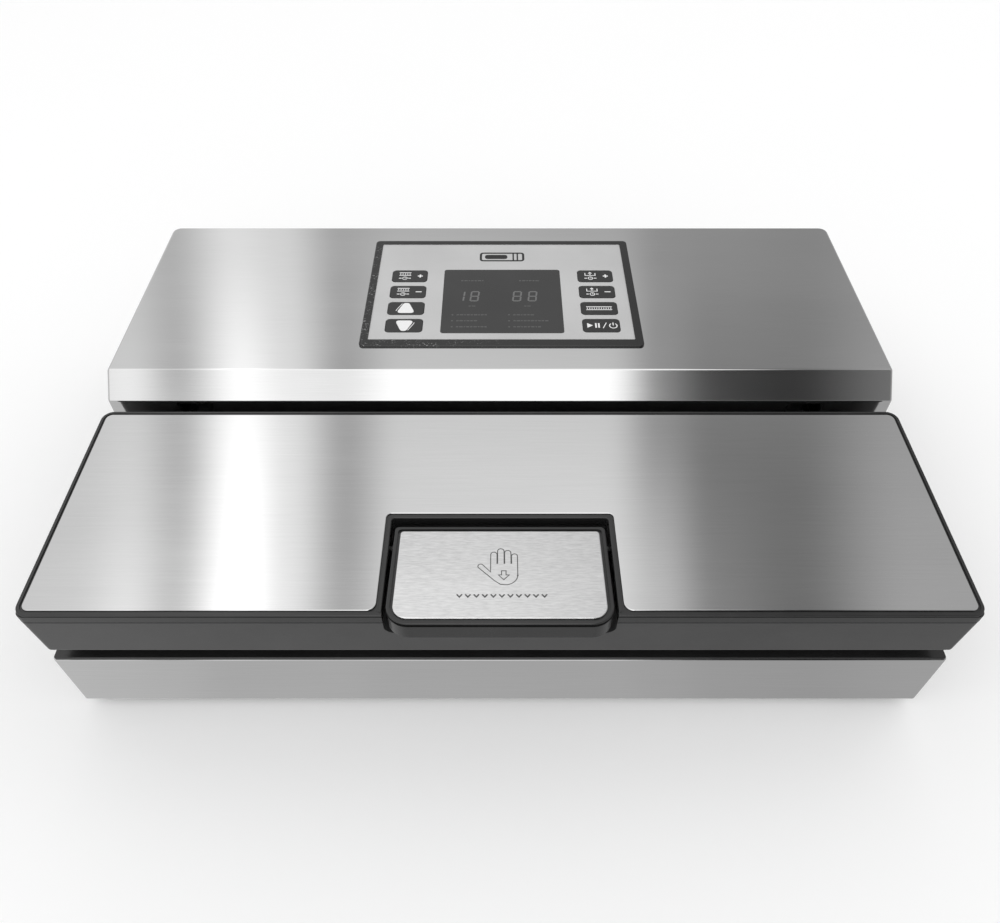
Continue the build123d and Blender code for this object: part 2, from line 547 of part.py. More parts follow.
panel_back_y = rear_y - sheet
with BuildPart() as rear_panel:
    block((-opening_half - 16, panel_back_y - sheet, 60.5), (opening_half + 16, panel_back_y, 120.0))
    for row in range(6):
        for column in range(9):
            x, z = -60.0 + 16.0 * column, 78.0 + 5.0 * row
            block((x - 6.0, panel_back_y - 3, z - 1.0), (x + 6.0, panel_back_y + 1, z + 1.0), Mode.SUBTRACT)
    for row in range(8):
        z = fan_z - 17.5 + 5.0 * row
        half = 20.0 if abs(z - fan_z) < 13 else 13.0
        block((fan_x - half, panel_back_y - 3, z - 1.0),
              (fan_x + half, panel_back_y + 1, z + 1.0), Mode.SUBTRACT)
    block((inlet_x - 14.0, panel_back_y - 3, inlet_z - 10.0),
          (inlet_x + 14.0, panel_back_y + 1, inlet_z + 10.0), Mode.SUBTRACT)
    for x, z in rear_screw_places:
        rod_y(x, panel_back_y - 3, panel_back_y + 1, z, 1.5, Mode.SUBTRACT)
save(rear_panel.part, "rear_panel")

with BuildPart() as case_screws:
    for x, y in tub_screw_places:
        rod_z(x, y, foot_height, foot_height + 0.6, 3.5)
        rod_z(x, y, foot_height, foot_height + 9.0, 1.5)
    for x, z in rear_screw_places:
        rod_y(x, panel_back_y, rear_y, z, 3.0)
        rod_y(x, panel_back_y - 8.0, panel_back_y, z, 1.5)
save(case_screws.part, "case_screws")

with BuildPart() as power_inlet:
    block((inlet_x - 20.0, panel_back_y, inlet_z - 13.0), (inlet_x + 20.0, rear_y, inlet_z + 13.0))
    block((inlet_x - 14.0, panel_back_y - 26.0, inlet_z - 10.0),
          (inlet_x + 14.0, panel_back_y, inlet_z + 10.0))
    block((inlet_x - 12.2, panel_back_y - 16.0, inlet_z - 8.2), (inlet_x + 12.2, rear_y + 1, inlet_z + 8.2),
          Mode.SUBTRACT)
    for dx, dz in ((-7.0, -2.0), (0.0, 2.0), (7.0, -2.0)):
        block((inlet_x + dx - 1.0, panel_back_y - 26.0, inlet_z + dz - 2.0),
              (inlet_x + dx + 1.0, panel_back_y - 5.0, inlet_z + dz + 2.0))
save(power_inlet.part, "power_inlet")

# =========================================================== control panel

key_names = ["key_start", "key_seal_only", "key_vacuum_less", "key_vacuum_more",
             "key_down", "key_up", "key_seal_less", "key_seal_more"]
key_places = [(key_x + side * key_offset, key_first_y + key_pitch * row)
              for side in (1, -1) for row in range(4)]
window_mid_y = (window_front_y + window_rear_y) / 2

with BuildPart() as panel_bezel:
    plate((film_x - bezel_half, bezel_front_y, housing_top_z),
          (film_x + bezel_half, bezel_rear_y, bezel_top_z), 3.0)
    fillet(panel_bezel.faces().sort_by(Axis.Z)[-1].edges(), 0.7)
    plate((film_x - overlay_half, overlay_front_y, housing_top_z - 1),
          (film_x + overlay_half, overlay_rear_y, bezel_top_z + 1), 1.0, Mode.SUBTRACT)
save(panel_bezel.part, "panel_bezel")

with BuildPart() as panel_overlay:
    plate((film_x - overlay_half, overlay_front_y, housing_top_z),
          (film_x + overlay_half, overlay_rear_y, overlay_top_z), 1.0)
    plate((panel_x - window_half, window_front_y, housing_top_z - 1),
          (panel_x + window_half, window_rear_y, overlay_top_z + 1), 2.0, Mode.SUBTRACT)
    for x, y in key_places:
        plate((x - key_width / 2 - gap, y - key_depth / 2 - gap, housing_top_z - 1),
              (x + key_width / 2 + gap, y + key_depth / 2 + gap, overlay_top_z + 1), key_corner + gap,
              Mode.SUBTRACT)
save(panel_overlay.part, "panel_overlay")

with BuildPart() as display_window:
    plate((panel_x - window_half, window_front_y, housing_top_z),
          (panel_x + window_half, window_rear_y, overlay_top_z), 2.0)
save(display_window.part, "display_window")

switch_top_z = board_z + 1.6 + 4.0
for name, (x, y) in zip(key_names, key_places):
    with BuildPart() as key:
        key_top_z = overlay_top_z + key_rise
        plate((x - key_width / 2, y - key_depth / 2, key_top_z - key_thickness),
              (x + key_width / 2, y + key_depth / 2, key_top_z), key_corner)
        fillet(key.faces().sort_by(Axis.Z)[-1].edges(), 0.3)
        block((x - 2.5, y - 2.5, switch_top_z + key_travel + 0.2),
              (x + 2.5, y + 2.5, key_top_z - key_thickness))
    save(key.part, name)

with BuildPart() as control_board:
    block((panel_x - 86.0, 38.0, board_z), (panel_x + 86.0, 140.0, board_z + 1.6))
    for dx in (-83.0, 83.0):
        for y in (41.0, 137.0):
            rod_z(panel_x + dx, y, board_z + 1.6, housing_top_z - sheet, 2.5)
    for x, y in key_places:
        block((x - 3.0, y - 3.0, board_z + 1.6), (x + 3.0, y + 3.0, switch_top_z - 0.8))
        rod_z(x, y, switch_top_z - 0.8, switch_top_z, 1.6)
save(control_board.part, "control_board")

digit_y = 83.0
digit_xs = [-28.5, -17.6, 12.4, 23.3]
with BuildPart() as led_digits:
    for x in digit_xs:
        block((x - 5.0, digit_y - 8.5, board_z + 1.6), (x + 5.0, digit_y + 8.5, housing_top_z - 0.2))
save(led_digits.part, "led_digits")

# =========================================================== pump, electrics and air path

motor_y, motor_z = 95.0, 52.0
motor_left, motor_right = -70.0, 20.0
motor_radius, shaft_radius = 34.0, 4.0
crankcase_right, crankcase_half, case_wall = 66.0, 26.0, 4.0
head_length = 26.0

with BuildPart() as pump_motor:
    rod_x(motor_left, motor_right, motor_y, motor_z, motor_radius)
    rod_x(motor_left + case_wall, motor_right - case_wall, motor_y, motor_z, motor_radius - 3.0,
          Mode.SUBTRACT)
    rod_x(motor_left - 1, motor_right + 1, motor_y, motor_z, shaft_radius + fit, Mode.SUBTRACT)
save(pump_motor.part, "pump_motor")

with BuildPart() as pump_crankcase:
    block((motor_right, motor_y - crankcase_half, motor_z - crankcase_half),
          (crankcase_right, motor_y + crankcase_half, motor_z + crankcase_half))
    inner_half = crankcase_half - case_wall
    block((motor_right + case_wall, motor_y - inner_half, motor_z - inner_half),
          (crankcase_right - case_wall, motor_y + inner_half, motor_z + inner_half), Mode.SUBTRACT)
    rod_x(motor_right - 1, motor_right + case_wall + 1, motor_y, motor_z, shaft_radius + fit, Mode.SUBTRACT)
save(pump_crankcase.part, "pump_crankcase")

with BuildPart() as motor_rotor:
    rod_x(motor_left - 2, crankcase_right - 10, motor_y, motor_z, shaft_radius)
    rod_x(motor_left + 14, motor_right - 14, motor_y, motor_z, motor_radius - 10.0)
    rod_x(motor_right + 14, crankcase_right - 12, motor_y, motor_z + 4.0, 12.0)
save(motor_rotor.part, "motor_rotor")

with BuildPart() as pump_heads:
    for side in (-1, 1):
        near, far = motor_y + side * crankcase_half, motor_y + side * (crankcase_half + head_length)
        block((motor_right + 6, min(near, far), motor_z - 18.0),
              (crankcase_right - 6, max(near, far), motor_z + 18.0))
        for fin in range(5):
            y = motor_y + side * (crankcase_half + 5.0 + 4.5 * fin)
            block((motor_right + 3, y - 0.8, motor_z - 21.0), (crankcase_right - 3, y + 0.8, motor_z + 21.0))
        rod_z(crankcase_right - 16, motor_y + side * 40.0, motor_z + 18.0, motor_z + 28.0, 3.0)
save(pump_heads.part, "pump_heads")

floor_z = foot_height + sheet
mount_places = [(motor_left + 12, motor_y - 20.0), (motor_left + 12, motor_y + 20.0),
                (crankcase_right - 12, motor_y - 20.0), (crankcase_right - 12, motor_y + 20.0)]
with BuildPart() as pump_mounts:
    for x, y in mount_places:
        rod_z(x, y, floor_z, 15.0, 6.0)
save(pump_mounts.part, "pump_mounts")

with BuildPart() as pump_cradle:
    block((motor_left, motor_y - 27.0, 15.0), (crankcase_right, motor_y + 27.0, 17.0))
    block((motor_right, motor_y - 24.0, 17.0), (crankcase_right, motor_y + 24.0, motor_z - crankcase_half))
    for x in (motor_left + 6, motor_right - 12):
        block((x, motor_y - 20.0, 17.0), (x + 6, motor_y + 20.0, motor_z - crankcase_half))
        rod_x(x - 1, x + 7, motor_y, motor_z, motor_radius + fit, Mode.SUBTRACT)
save(pump_cradle.part, "pump_cradle")

with BuildPart() as transformer:
    block((110.0, 60.0, floor_z), (170.0, 110.0, floor_z + 3))
    block((115.0, 70.0, floor_z + 3), (165.0, 100.0, 58.0))
    plate((124.0, 62.0, floor_z + 10), (156.0, 108.0, 50.0), 8.0)
save(transformer.part, "transformer")

with BuildPart() as power_board:
    block((182.0, 10.0, 18.0), (240.0, 130.0, 19.6))
    for x in (186.0, 236.0):
        for y in (14.0, 126.0):
            rod_z(x, y, floor_z, 18.0, 2.5)
    block((190.0, 24.0, 19.6), (206.0, 52.0, 38.0))
    for y in (62.0, 84.0, 106.0):
        rod_z(222.0, y, 19.6, 44.0, 8.0)
    block((192.0, 70.0, 19.6), (208.0, 112.0, 30.0))
save(power_board.part, "power_board")

valve_x, valve_y, plunger_radius = -150.0, 60.0, 4.0
with BuildPart() as valve_body:
    block((valve_x - 14, valve_y - 12, floor_z), (valve_x + 14, valve_y + 12, floor_z + 4))
    rod_z(valve_x, valve_y, floor_z + 4, 46.0, 11.0)
    rod_z(valve_x, valve_y, 20.0, 47.0, plunger_radius + fit, Mode.SUBTRACT)
save(valve_body.part, "valve_body")

with BuildPart() as valve_plunger:
    rod_z(valve_x, valve_y, 20.5, 52.0, plunger_radius)
    rod_z(valve_x, valve_y, 52.0, 55.0, 6.0)
save(valve_plunger.part, "valve_plunger")

with BuildPart() as vacuum_sensor:
    block((-220.0, 40.0, floor_z), (-190.0, 70.0, floor_z + 6))
    rod_z(-205.0, 55.0, floor_z + 6, floor_z + 16, 3.0)
save(vacuum_sensor.part, "vacuum_sensor")

fan_half, fan_depth, fan_bore, fan_pin = 25.0, 15.0, 23.5, 1.5
fan_front_y = panel_back_y - sheet - fan_depth
with BuildPart() as fan_frame:
    block((fan_x - fan_half, fan_front_y, fan_z - fan_half),
          (fan_x + fan_half, fan_front_y + fan_depth, fan_z + fan_half))
    rod_y(fan_x, fan_front_y - 1, fan_front_y + fan_depth + 1, fan_z, fan_bore, Mode.SUBTRACT)
    rod_y(fan_x, fan_front_y, fan_front_y + 3.0, fan_z, 9.0)
    block((fan_x - 24.0, fan_front_y, fan_z - 1.5), (fan_x + 24.0, fan_front_y + 2.0, fan_z + 1.5))
    block((fan_x - 1.5, fan_front_y, fan_z - 24.0), (fan_x + 1.5, fan_front_y + 2.0, fan_z + 24.0))
    rod_y(fan_x, fan_front_y + 3.0, fan_front_y + 9.0, fan_z, fan_pin)
save(fan_frame.part, "fan_frame")

with BuildPart() as fan_rotor:
    rod_y(fan_x, fan_front_y + 4.0, fan_front_y + 13.5, fan_z, 10.0)
    for blade in range(7):
        turn = 360.0 / 7 * blade
        with Locations(Location((fan_x, fan_front_y + 8.7, fan_z)) * Location((0, 0, 0), (0, turn, 0))
                       * Location((15.5, 0, 0), (35, 0, 0))):
            Box(14.0, 1.2, 11.0)
    rod_y(fan_x, fan_front_y + 3.9, fan_front_y + 10.0, fan_z, fan_pin + fit, Mode.SUBTRACT)
save(fan_rotor.part, "fan_rotor")


def hose(points, radii, radius, bore):
    """A hose through straight runs joined by tangent arcs."""
    with BuildPart() as tube:
        with BuildLine() as path:
            FilletPolyline(*points, radius=radii)
        with BuildSketch(Plane(origin=path.line @ 0, z_dir=path.line % 0)):
            Circle(radius)
            Circle(bore, mode=Mode.SUBTRACT)
        sweep(path=path.line)
    return tube.part


pump_port = (crankcase_right - 16, motor_y - 40.0)
suction_points = [(nozzle_x, nozzle_y, nozzle_z - nozzle_drop), (nozzle_x, nozzle_y, 25.0),
                  (110.0, 10.0, 22.0),
                  (84.0, 40.0, 60.0), (70.0, 50.0, 96.0), (pump_port[0], pump_port[1], 98.0),
                  (pump_port[0], pump_port[1], motor_z + 28.0)]
suction_radii = [9.0, 16.0, 18.0, 9.0, 7.5]
save(hose(suction_points, suction_radii, 4.5, 2.5), "suction_hose")

sensor_points = [(-205.0, 55.0, floor_z + 16.0), (-205.0, 55.0, 45.0), (-180.0, 20.0, 50.0),
                 (-110.0, -10.0, 30.0), (-100.0, -40.0, 30.0)]
sensor_radii = [8.0, 14.0, 14.0]
save(hose(sensor_points, sensor_radii, 2.5, 1.2), "sensor_hose")
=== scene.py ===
"""Looks of the countertop vacuum sealer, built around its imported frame. Metres, +Z up, front towards -Y."""
import bmesh
import bpy
import json
import math
from mathutils import Matrix, Vector


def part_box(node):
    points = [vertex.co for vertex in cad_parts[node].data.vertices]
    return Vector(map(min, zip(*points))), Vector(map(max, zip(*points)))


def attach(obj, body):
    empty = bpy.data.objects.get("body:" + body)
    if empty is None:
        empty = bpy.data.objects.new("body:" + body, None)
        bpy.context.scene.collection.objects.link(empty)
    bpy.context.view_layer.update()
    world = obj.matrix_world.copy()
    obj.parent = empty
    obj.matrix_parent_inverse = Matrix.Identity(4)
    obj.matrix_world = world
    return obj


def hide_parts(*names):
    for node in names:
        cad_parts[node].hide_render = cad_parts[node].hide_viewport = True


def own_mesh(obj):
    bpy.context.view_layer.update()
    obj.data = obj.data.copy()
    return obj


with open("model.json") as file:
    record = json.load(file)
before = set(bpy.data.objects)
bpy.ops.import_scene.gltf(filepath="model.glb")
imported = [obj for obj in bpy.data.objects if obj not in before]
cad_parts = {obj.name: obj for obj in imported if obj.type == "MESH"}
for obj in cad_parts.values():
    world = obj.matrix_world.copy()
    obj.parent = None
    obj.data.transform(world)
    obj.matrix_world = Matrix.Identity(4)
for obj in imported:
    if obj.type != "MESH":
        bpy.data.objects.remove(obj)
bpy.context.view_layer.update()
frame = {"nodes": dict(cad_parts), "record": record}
scene = bpy.context.scene
MM = 0.001


# the mix node's first input, second input and output, for vectors and for colours
VECTOR_MIX = (4, 5, 1)
COLOUR_MIX = (6, 7, 2)


# ---------------------------------------------------------------- node building

def add_node(tree, kind, **values):
    """A shader node, with its sockets and settings given by name."""
    made = tree.nodes.new(kind)
    for key, value in values.items():
        if key in made.inputs:
            made.inputs[key].default_value = value
        else:
            setattr(made, key, value)
    return made


def add_range(tree, value, from_low, from_high, to_low=0.0, to_high=1.0):
    """A value carried from one range to another, and clamped."""
    made = add_node(tree, "ShaderNodeMapRange", clamp=True)
    for socket, number in zip(("From Min", "From Max", "To Min", "To Max"),
                              (from_low, from_high, to_low, to_high)):
        made.inputs[socket].default_value = number
    tree.links.new(value, made.inputs["Value"])
    return made.outputs["Result"]


def add_mix(tree, factor, first, second, sockets=COLOUR_MIX, data_type="RGBA"):
    """A mix of two, each a colour or a socket."""
    made = add_node(tree, "ShaderNodeMix", data_type=data_type)
    tree.links.new(factor, made.inputs["Factor"])
    for index, value in zip(sockets, (first, second)):
        if isinstance(value, tuple):
            made.inputs[index].default_value = (*value, 1.0)
        else:
            tree.links.new(value, made.inputs[index])
    return made.outputs[sockets[2]]


class Surface:
    """One procedural material: a Principled shader and the nodes that feed it."""

    def __init__(self, name, colour, roughness, metallic=0.0, **sockets):
        self.material = bpy.data.materials.new(name)
        self.material.use_nodes = True
        self.tree = self.material.node_tree
        self.links = self.tree.links
        self.shader = self.tree.nodes["Principled BSDF"]
        self.shader.inputs["Base Color"].default_value = (*colour, 1.0)
        self.shader.inputs["Roughness"].default_value = roughness
        self.shader.inputs["Metallic"].default_value = metallic
        for socket, value in sockets.items():
            self.shader.inputs[socket.replace("_", " ")].default_value = value
        self.place = self.node("ShaderNodeTexCoord").outputs["Object"]
        self.last_normal = None

    def node(self, kind, **values):
        return add_node(self.tree, kind, **values)

    def stretched(self, scale):
        """The position, multiplied along each axis."""
        mapping = self.node("ShaderNodeMapping", Scale=scale)
        self.links.new(self.place, mapping.inputs["Vector"])
        return mapping.outputs["Vector"]

    def grain_vector(self, along, across):
        """Stretched along X, but along Y on faces that look sideways."""
        geometry = self.node("ShaderNodeNewGeometry")
        split = self.node("ShaderNodeSeparateXYZ")
        self.links.new(geometry.outputs["True Normal"], split.inputs[0])
        steepness = self.maths("ABSOLUTE", split.outputs["X"])
        sideways = self.maths("GREATER_THAN", steepness, 0.7)
        return add_mix(self.tree, sideways, self.stretched((along, across, across)),
                       self.stretched((across, along, across)), VECTOR_MIX, "VECTOR")

    def noise(self, vector, scale=1.0, detail=3.0, roughness=0.5):
        made = self.node("ShaderNodeTexNoise", Scale=scale, Detail=detail, Roughness=roughness)
        self.links.new(vector, made.inputs["Vector"])
        return made.outputs["Fac"]

    def maths(self, operation, a, b=None):
        made = self.node("ShaderNodeMath", operation=operation)
        for index, value in enumerate((a, b)):
            if isinstance(value, (int, float)):
                made.inputs[index].default_value = value
            elif value is not None:
                self.links.new(value, made.inputs[index])
        return made.outputs[0]

    def fit(self, value, from_low, from_high, to_low=0.0, to_high=1.0):
        return add_range(self.tree, value, from_low, from_high, to_low, to_high)

    def blend(self, factor, first, second):
        return add_mix(self.tree, factor, first, second)

    def colour(self, output):
        self.links.new(output, self.shader.inputs["Base Color"])

    def rough(self, output):
        self.links.new(output, self.shader.inputs["Roughness"])

    def bump(self, height, strength, distance):
        """Fine relief, laid over any relief that is there already."""
        made = self.node("ShaderNodeBump", Strength=strength, Distance=distance)
        self.links.new(height, made.inputs["Height"])
        if self.last_normal:
            self.links.new(self.last_normal, made.inputs["Normal"])
        self.last_normal = made.outputs["Normal"]
        self.links.new(self.last_normal, self.shader.inputs["Normal"])


def grey(value, warm=0.0):
    """A grey, a little redder and less blue where warm is above 0."""
    return (value * (1 + warm), value, value * (1 - warm))


def steel(name, level, roughness, fine, along=30.0, across=2600.0, streak=0.04):
    """Polished or brushed sheet: fine grain along X, faint smears and slow changes of gloss."""
    look = Surface(name, grey(level), roughness, 1.0)
    grain = look.noise(look.grain_vector(along, across), 1.0, 4.0, 0.6)
    smear = look.noise(look.grain_vector(5.0, 22.0), 1.0, 3.0, 0.5)
    shade = look.maths("ADD", look.maths("MULTIPLY", grain, 0.6), look.maths("MULTIPLY", smear, 0.4))
    look.colour(look.blend(look.fit(shade, 0.3, 0.7), grey(level * (1 - streak)), grey(level * (1 + streak))))
    gloss = look.maths("ADD", smear, look.maths("MULTIPLY", grain, 0.3))
    look.rough(look.fit(gloss, 0.4, 0.9, roughness * 0.85, roughness * 1.25))
    look.bump(grain, fine, 0.00002)
    return look.material


def plastic(name, level, roughness, texture=1400.0, depth=0.25):
    """Moulded plastic with a fine spark-eroded texture and a little dust in its colour."""
    look = Surface(name, grey(level), roughness)
    fine = look.noise(look.place, texture, 2.0)
    broad = look.noise(look.place, 38.0, 4.0, 0.6)
    look.colour(look.blend(look.fit(broad, 0.35, 0.7), grey(level * 0.9), grey(level * 1.18)))
    look.rough(look.fit(look.maths("ADD", broad, fine), 0.7, 1.3, roughness * 0.9, roughness * 1.15))
    look.bump(fine, depth, 0.00004)
    return look.material


def rubber(name, colour, roughness, cell=900.0, depth=0.35):
    """Matt rubber or silicone with fine pores and a pale bloom of dust."""
    look = Surface(name, colour, roughness)
    cells = look.noise(look.place, cell, 3.0)
    dust = look.noise(look.place, 60.0, 4.0)
    pale = tuple(channel * 1.5 + 0.01 for channel in colour)
    look.colour(look.blend(look.fit(dust, 0.4, 0.75, 0.0, 0.8), colour, pale))
    look.bump(cells, depth, 0.00008)
    return look.material


# ---------------------------------------------------------------- materials, one per slot

def panel_black():
    """Gloss frame of the key panel, with small dry specks on its left and front sides."""
    black, gloss = grey(0.009), 0.24
    edge_from, edge_to = 0.002, 0.0075
    fade_from, fade_to = 0.05, 0.11
    look = Surface("panel_black", black, gloss)
    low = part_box("panel_bezel")[0]
    split = look.node("ShaderNodeSeparateXYZ")
    look.links.new(look.place, split.inputs[0])
    left = look.fit(split.outputs["X"], low.x + edge_from, low.x + edge_to, 1.0, 0.0)
    front = look.fit(split.outputs["Y"], low.y + edge_from, low.y + edge_to, 1.0, 0.0)
    fading = look.fit(split.outputs["X"], low.x + fade_from, low.x + fade_to, 1.0, 0.0)
    where = look.maths("MAXIMUM", left, look.maths("MULTIPLY", front, fading))
    specks = look.fit(look.noise(look.place, 700.0, 4.0, 0.65), 0.56, 0.66)
    patches = look.fit(look.noise(look.place, 120.0, 3.0), 0.42, 0.6)
    worn = look.maths("MULTIPLY", look.maths("MULTIPLY", specks, patches), where)
    look.colour(look.blend(worn, black, grey(0.34)))
    look.rough(look.fit(worn, 0.0, 1.0, gloss, 0.75))
    look.bump(look.noise(look.place, 240.0, 2.0), 0.1, 0.00004)
    return look.material


def panel_silver():
    """Silver film with a fine metal flake."""
    look = Surface("panel_silver", grey(0.53), 0.42, 0.25)
    flake = look.noise(look.place, 3200.0, 2.0)
    tone = look.noise(look.place, 14.0, 3.0)
    glint = look.maths("ADD", look.maths("MULTIPLY", flake, 0.5), tone)
    look.colour(look.blend(look.fit(glint, 0.6, 0.9), grey(0.50), grey(0.56)))
    look.rough(look.fit(flake, 0.3, 0.7, 0.36, 0.48))
    look.bump(flake, 0.06, 0.00002)
    return look.material


def display_glass():
    """The dark display window."""
    look = Surface("display", grey(0.025), 0.22)
    tint = look.noise(look.place, 30.0, 3.0)
    look.colour(look.blend(look.fit(tint, 0.3, 0.7), grey(0.023), grey(0.028)))
    look.rough(look.fit(tint, 0.3, 0.7, 0.2, 0.27))
    return look.material


def key_film():
    """The keys' black film, with small worn specks."""
    look = Surface("key_black", grey(0.017), 0.4)
    fine = look.noise(look.place, 2600.0, 2.0)
    wear = look.fit(look.noise(look.place, 160.0, 5.0, 0.7), 0.6, 0.72, 0.0, 0.5)
    look.colour(look.blend(wear, grey(0.016), grey(0.05)))
    look.bump(fine, 0.12, 0.00003)
    return look.material


def woven_tape():
    """Glass cloth with a brown release coat: two crossed sets of threads."""
    look = Surface("release_tape", (0.36, 0.25, 0.15), 0.38)
    across = look.node("ShaderNodeTexWave", bands_direction="X", Scale=420.0)
    along = look.node("ShaderNodeTexWave", bands_direction="Y", Scale=420.0)
    for wave in (across, along):
        look.links.new(look.place, wave.inputs["Vector"])
    weave = look.maths("MAXIMUM", across.outputs["Fac"], along.outputs["Fac"])
    look.colour(look.blend(look.fit(weave, 0.2, 1.0), (0.27, 0.18, 0.11), (0.40, 0.28, 0.17)))
    look.bump(weave, 0.4, 0.00006)
    return look.material


def laminations():
    """The transformer core's stacked sheets."""
    look = Surface("core_steel", grey(0.2, 0.05), 0.55, 0.6)
    leaves = look.node("ShaderNodeTexWave", bands_direction="X", Scale=300.0)
    look.links.new(look.place, leaves.inputs["Vector"])
    look.colour(look.blend(leaves.outputs["Fac"], grey(0.11, 0.08), grey(0.27, 0.05)))
    look.bump(leaves.outputs["Fac"], 0.5, 0.0001)
    return look.material


def circuit():
    """Solder mask over thin copper tracks."""
    look = Surface("board_green", (0.02, 0.14, 0.06), 0.3)
    tracks = look.node("ShaderNodeTexBrick", **{"Scale": 90.0, "Mortar Size": 0.04})
    look.links.new(look.place, tracks.inputs["Vector"])
    look.colour(look.blend(tracks.outputs["Fac"], (0.02, 0.12, 0.05), (0.06, 0.24, 0.09)))
    look.bump(tracks.outputs["Fac"], 0.3, 0.00004)
    return look.material


def clear_hose():
    """Milky clear hose."""
    look = Surface("hose_clear", (0.8, 0.8, 0.77), 0.25, Transmission_Weight=0.6, IOR=1.41)
    haze = look.noise(look.place, 200.0, 3.0)
    look.rough(look.fit(haze, 0.3, 0.7, 0.2, 0.4))
    return look.material


finishes = {
    "polished_steel": steel("polished_steel", 0.60, 0.08, 0.03),
    "brushed_plate": steel("brushed_plate", 0.72, 0.32, 0.5, along=200.0, across=1100.0, streak=0.2),
    "black_plastic": plastic("black_plastic", 0.018, 0.24, 2000.0, 0.12),
    "shell_black": plastic("shell_black", 0.037, 0.34),
    "black_steel": steel("black_steel", 0.10, 0.4, 0.1, along=300.0, across=300.0),
    "panel_black": panel_black(),
    "panel_silver": panel_silver(),
    "display": display_glass(),
    "key_black": key_film(),
    "gasket_rubber": rubber("gasket_rubber", grey(0.075), 0.85),
    "silicone": rubber("silicone", (0.50, 0.09, 0.06), 0.45, 500.0, 0.15),
    "foot_rubber": rubber("foot_rubber", grey(0.025), 0.8),
    "tray_plastic": plastic("tray_plastic", 0.09, 0.25, 600.0, 0.08),
    "bar_aluminium": steel("bar_aluminium", 0.68, 0.30, 0.35, along=20.0, across=900.0, streak=0.06),
    "heater_wire": steel("heater_wire", 0.42, 0.34, 0.2, along=40.0, across=800.0, streak=0.12),
    "release_tape": woven_tape(),
    "fittings": plastic("fittings", 0.05, 0.5, 1000.0, 0.3),
    "zinc_steel": steel("zinc_steel", 0.52, 0.38, 0.2, along=120.0, across=300.0, streak=0.10),
    "bright_steel": steel("bright_steel", 0.64, 0.16, 0.15, along=700.0, across=700.0),
    "screw_steel": steel("screw_steel", 0.50, 0.30, 0.2, along=500.0, across=900.0, streak=0.08),
    "rear_black": plastic("rear_black", 0.045, 0.62, 2200.0, 0.6),
    "inlet_black": plastic("inlet_black", 0.03, 0.35, 1500.0, 0.15),
    "motor_paint": plastic("motor_paint", 0.11, 0.35, 500.0, 0.2),
    "core_steel": laminations(),
    "board_green": circuit(),
    "hose_clear": clear_hose(),
}
for subpart in frame["record"]["subparts"]:
    node = frame["nodes"].get(subpart["node"])
    if node:
        node.data.materials.clear()
        node.data.materials.append(finishes[subpart["material_slot"]])


# ---------------------------------------------------------------- the handle's springs, copied into an object of their own on the lid

springs = bpy.data.objects.new("spring_coils", frame["nodes"]["handle_springs"].data.copy())
scene.collection.objects.link(springs)
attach(springs, "lid")
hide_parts("handle_springs")
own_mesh(springs)


# ---------------------------------------------------------------- printed marks, drawn in millimetres

PROUD = 0.6  # the share of a print's thickness that stands above its surface


def ink(name, level, roughness=0.5):
    """Printing ink with a fine dot grain."""
    look = Surface(name, grey(level), roughness)
    dots = look.noise(look.place, 2600.0, 2.0)
    look.colour(look.blend(look.fit(dots, 0.35, 0.7), grey(level * 0.92), grey(level * 1.06)))
    look.bump(dots, 0.08, 0.00002)
    return look.material


white_ink = ink("white_ink", 0.80)
dark_ink = ink("dark_ink", 0.012, 0.6)
plate_ink = ink("plate_ink", 0.075)
faint_ink = ink("faint_ink", 0.085)
segment_ink = ink("segment_ink", 0.135)


def arc(x, y, radius, start, end, steps=10):
    """Points on an arc, angles in degrees."""
    angles = [math.radians(start + (end - start) * i / steps) for i in range(steps + 1)]
    return [(x + radius * math.cos(angle), y + radius * math.sin(angle)) for angle in angles]


def box_outline(x, y, width, height):
    """A rectangle about its middle."""
    return [(x - width / 2, y - height / 2), (x + width / 2, y - height / 2),
            (x + width / 2, y + height / 2), (x - width / 2, y + height / 2)]


def rounded(points, radius, steps=6):
    """The polygon with each corner rounded."""
    result = []
    count = len(points)
    for i in range(count):
        corner = Vector(points[i])
        back = Vector(points[i - 1]) - corner
        ahead = Vector(points[(i + 1) % count]) - corner
        reach = min(radius, back.length * 0.49, ahead.length * 0.49)
        start = corner + back.normalized() * reach
        end = corner + ahead.normalized() * reach
        for k in range(steps + 1):
            t = k / steps
            point = start * (1 - t) ** 2 + corner * 2 * t * (1 - t) + end * t * t
            result.append((point.x, point.y))
    return result


def ribbon(points, width, closed=False):
    """Two rails either side of a path, with mitred corners."""
    count = len(points)
    left, right = [], []
    for i in range(count):
        here = Vector(points[i])
        before = Vector(points[i - 1]) if closed or i > 0 else None
        after = Vector(points[(i + 1) % count]) if closed or i < count - 1 else None
        coming = (here - before).normalized() if before is not None else None
        going = (after - here).normalized() if after is not None else None
        coming, going = coming or going, going or coming
        turned_back = (coming + going).length < 1e-6
        middle = coming if turned_back else (coming + going).normalized()
        outward = Vector((-middle.y, middle.x))
        mitre = 1.0 / max(0.5, outward.dot(Vector((-coming.y, coming.x))))
        left.append(here + outward * width / 2 * mitre)
        right.append(here - outward * width / 2 * mitre)
    return left, right, closed


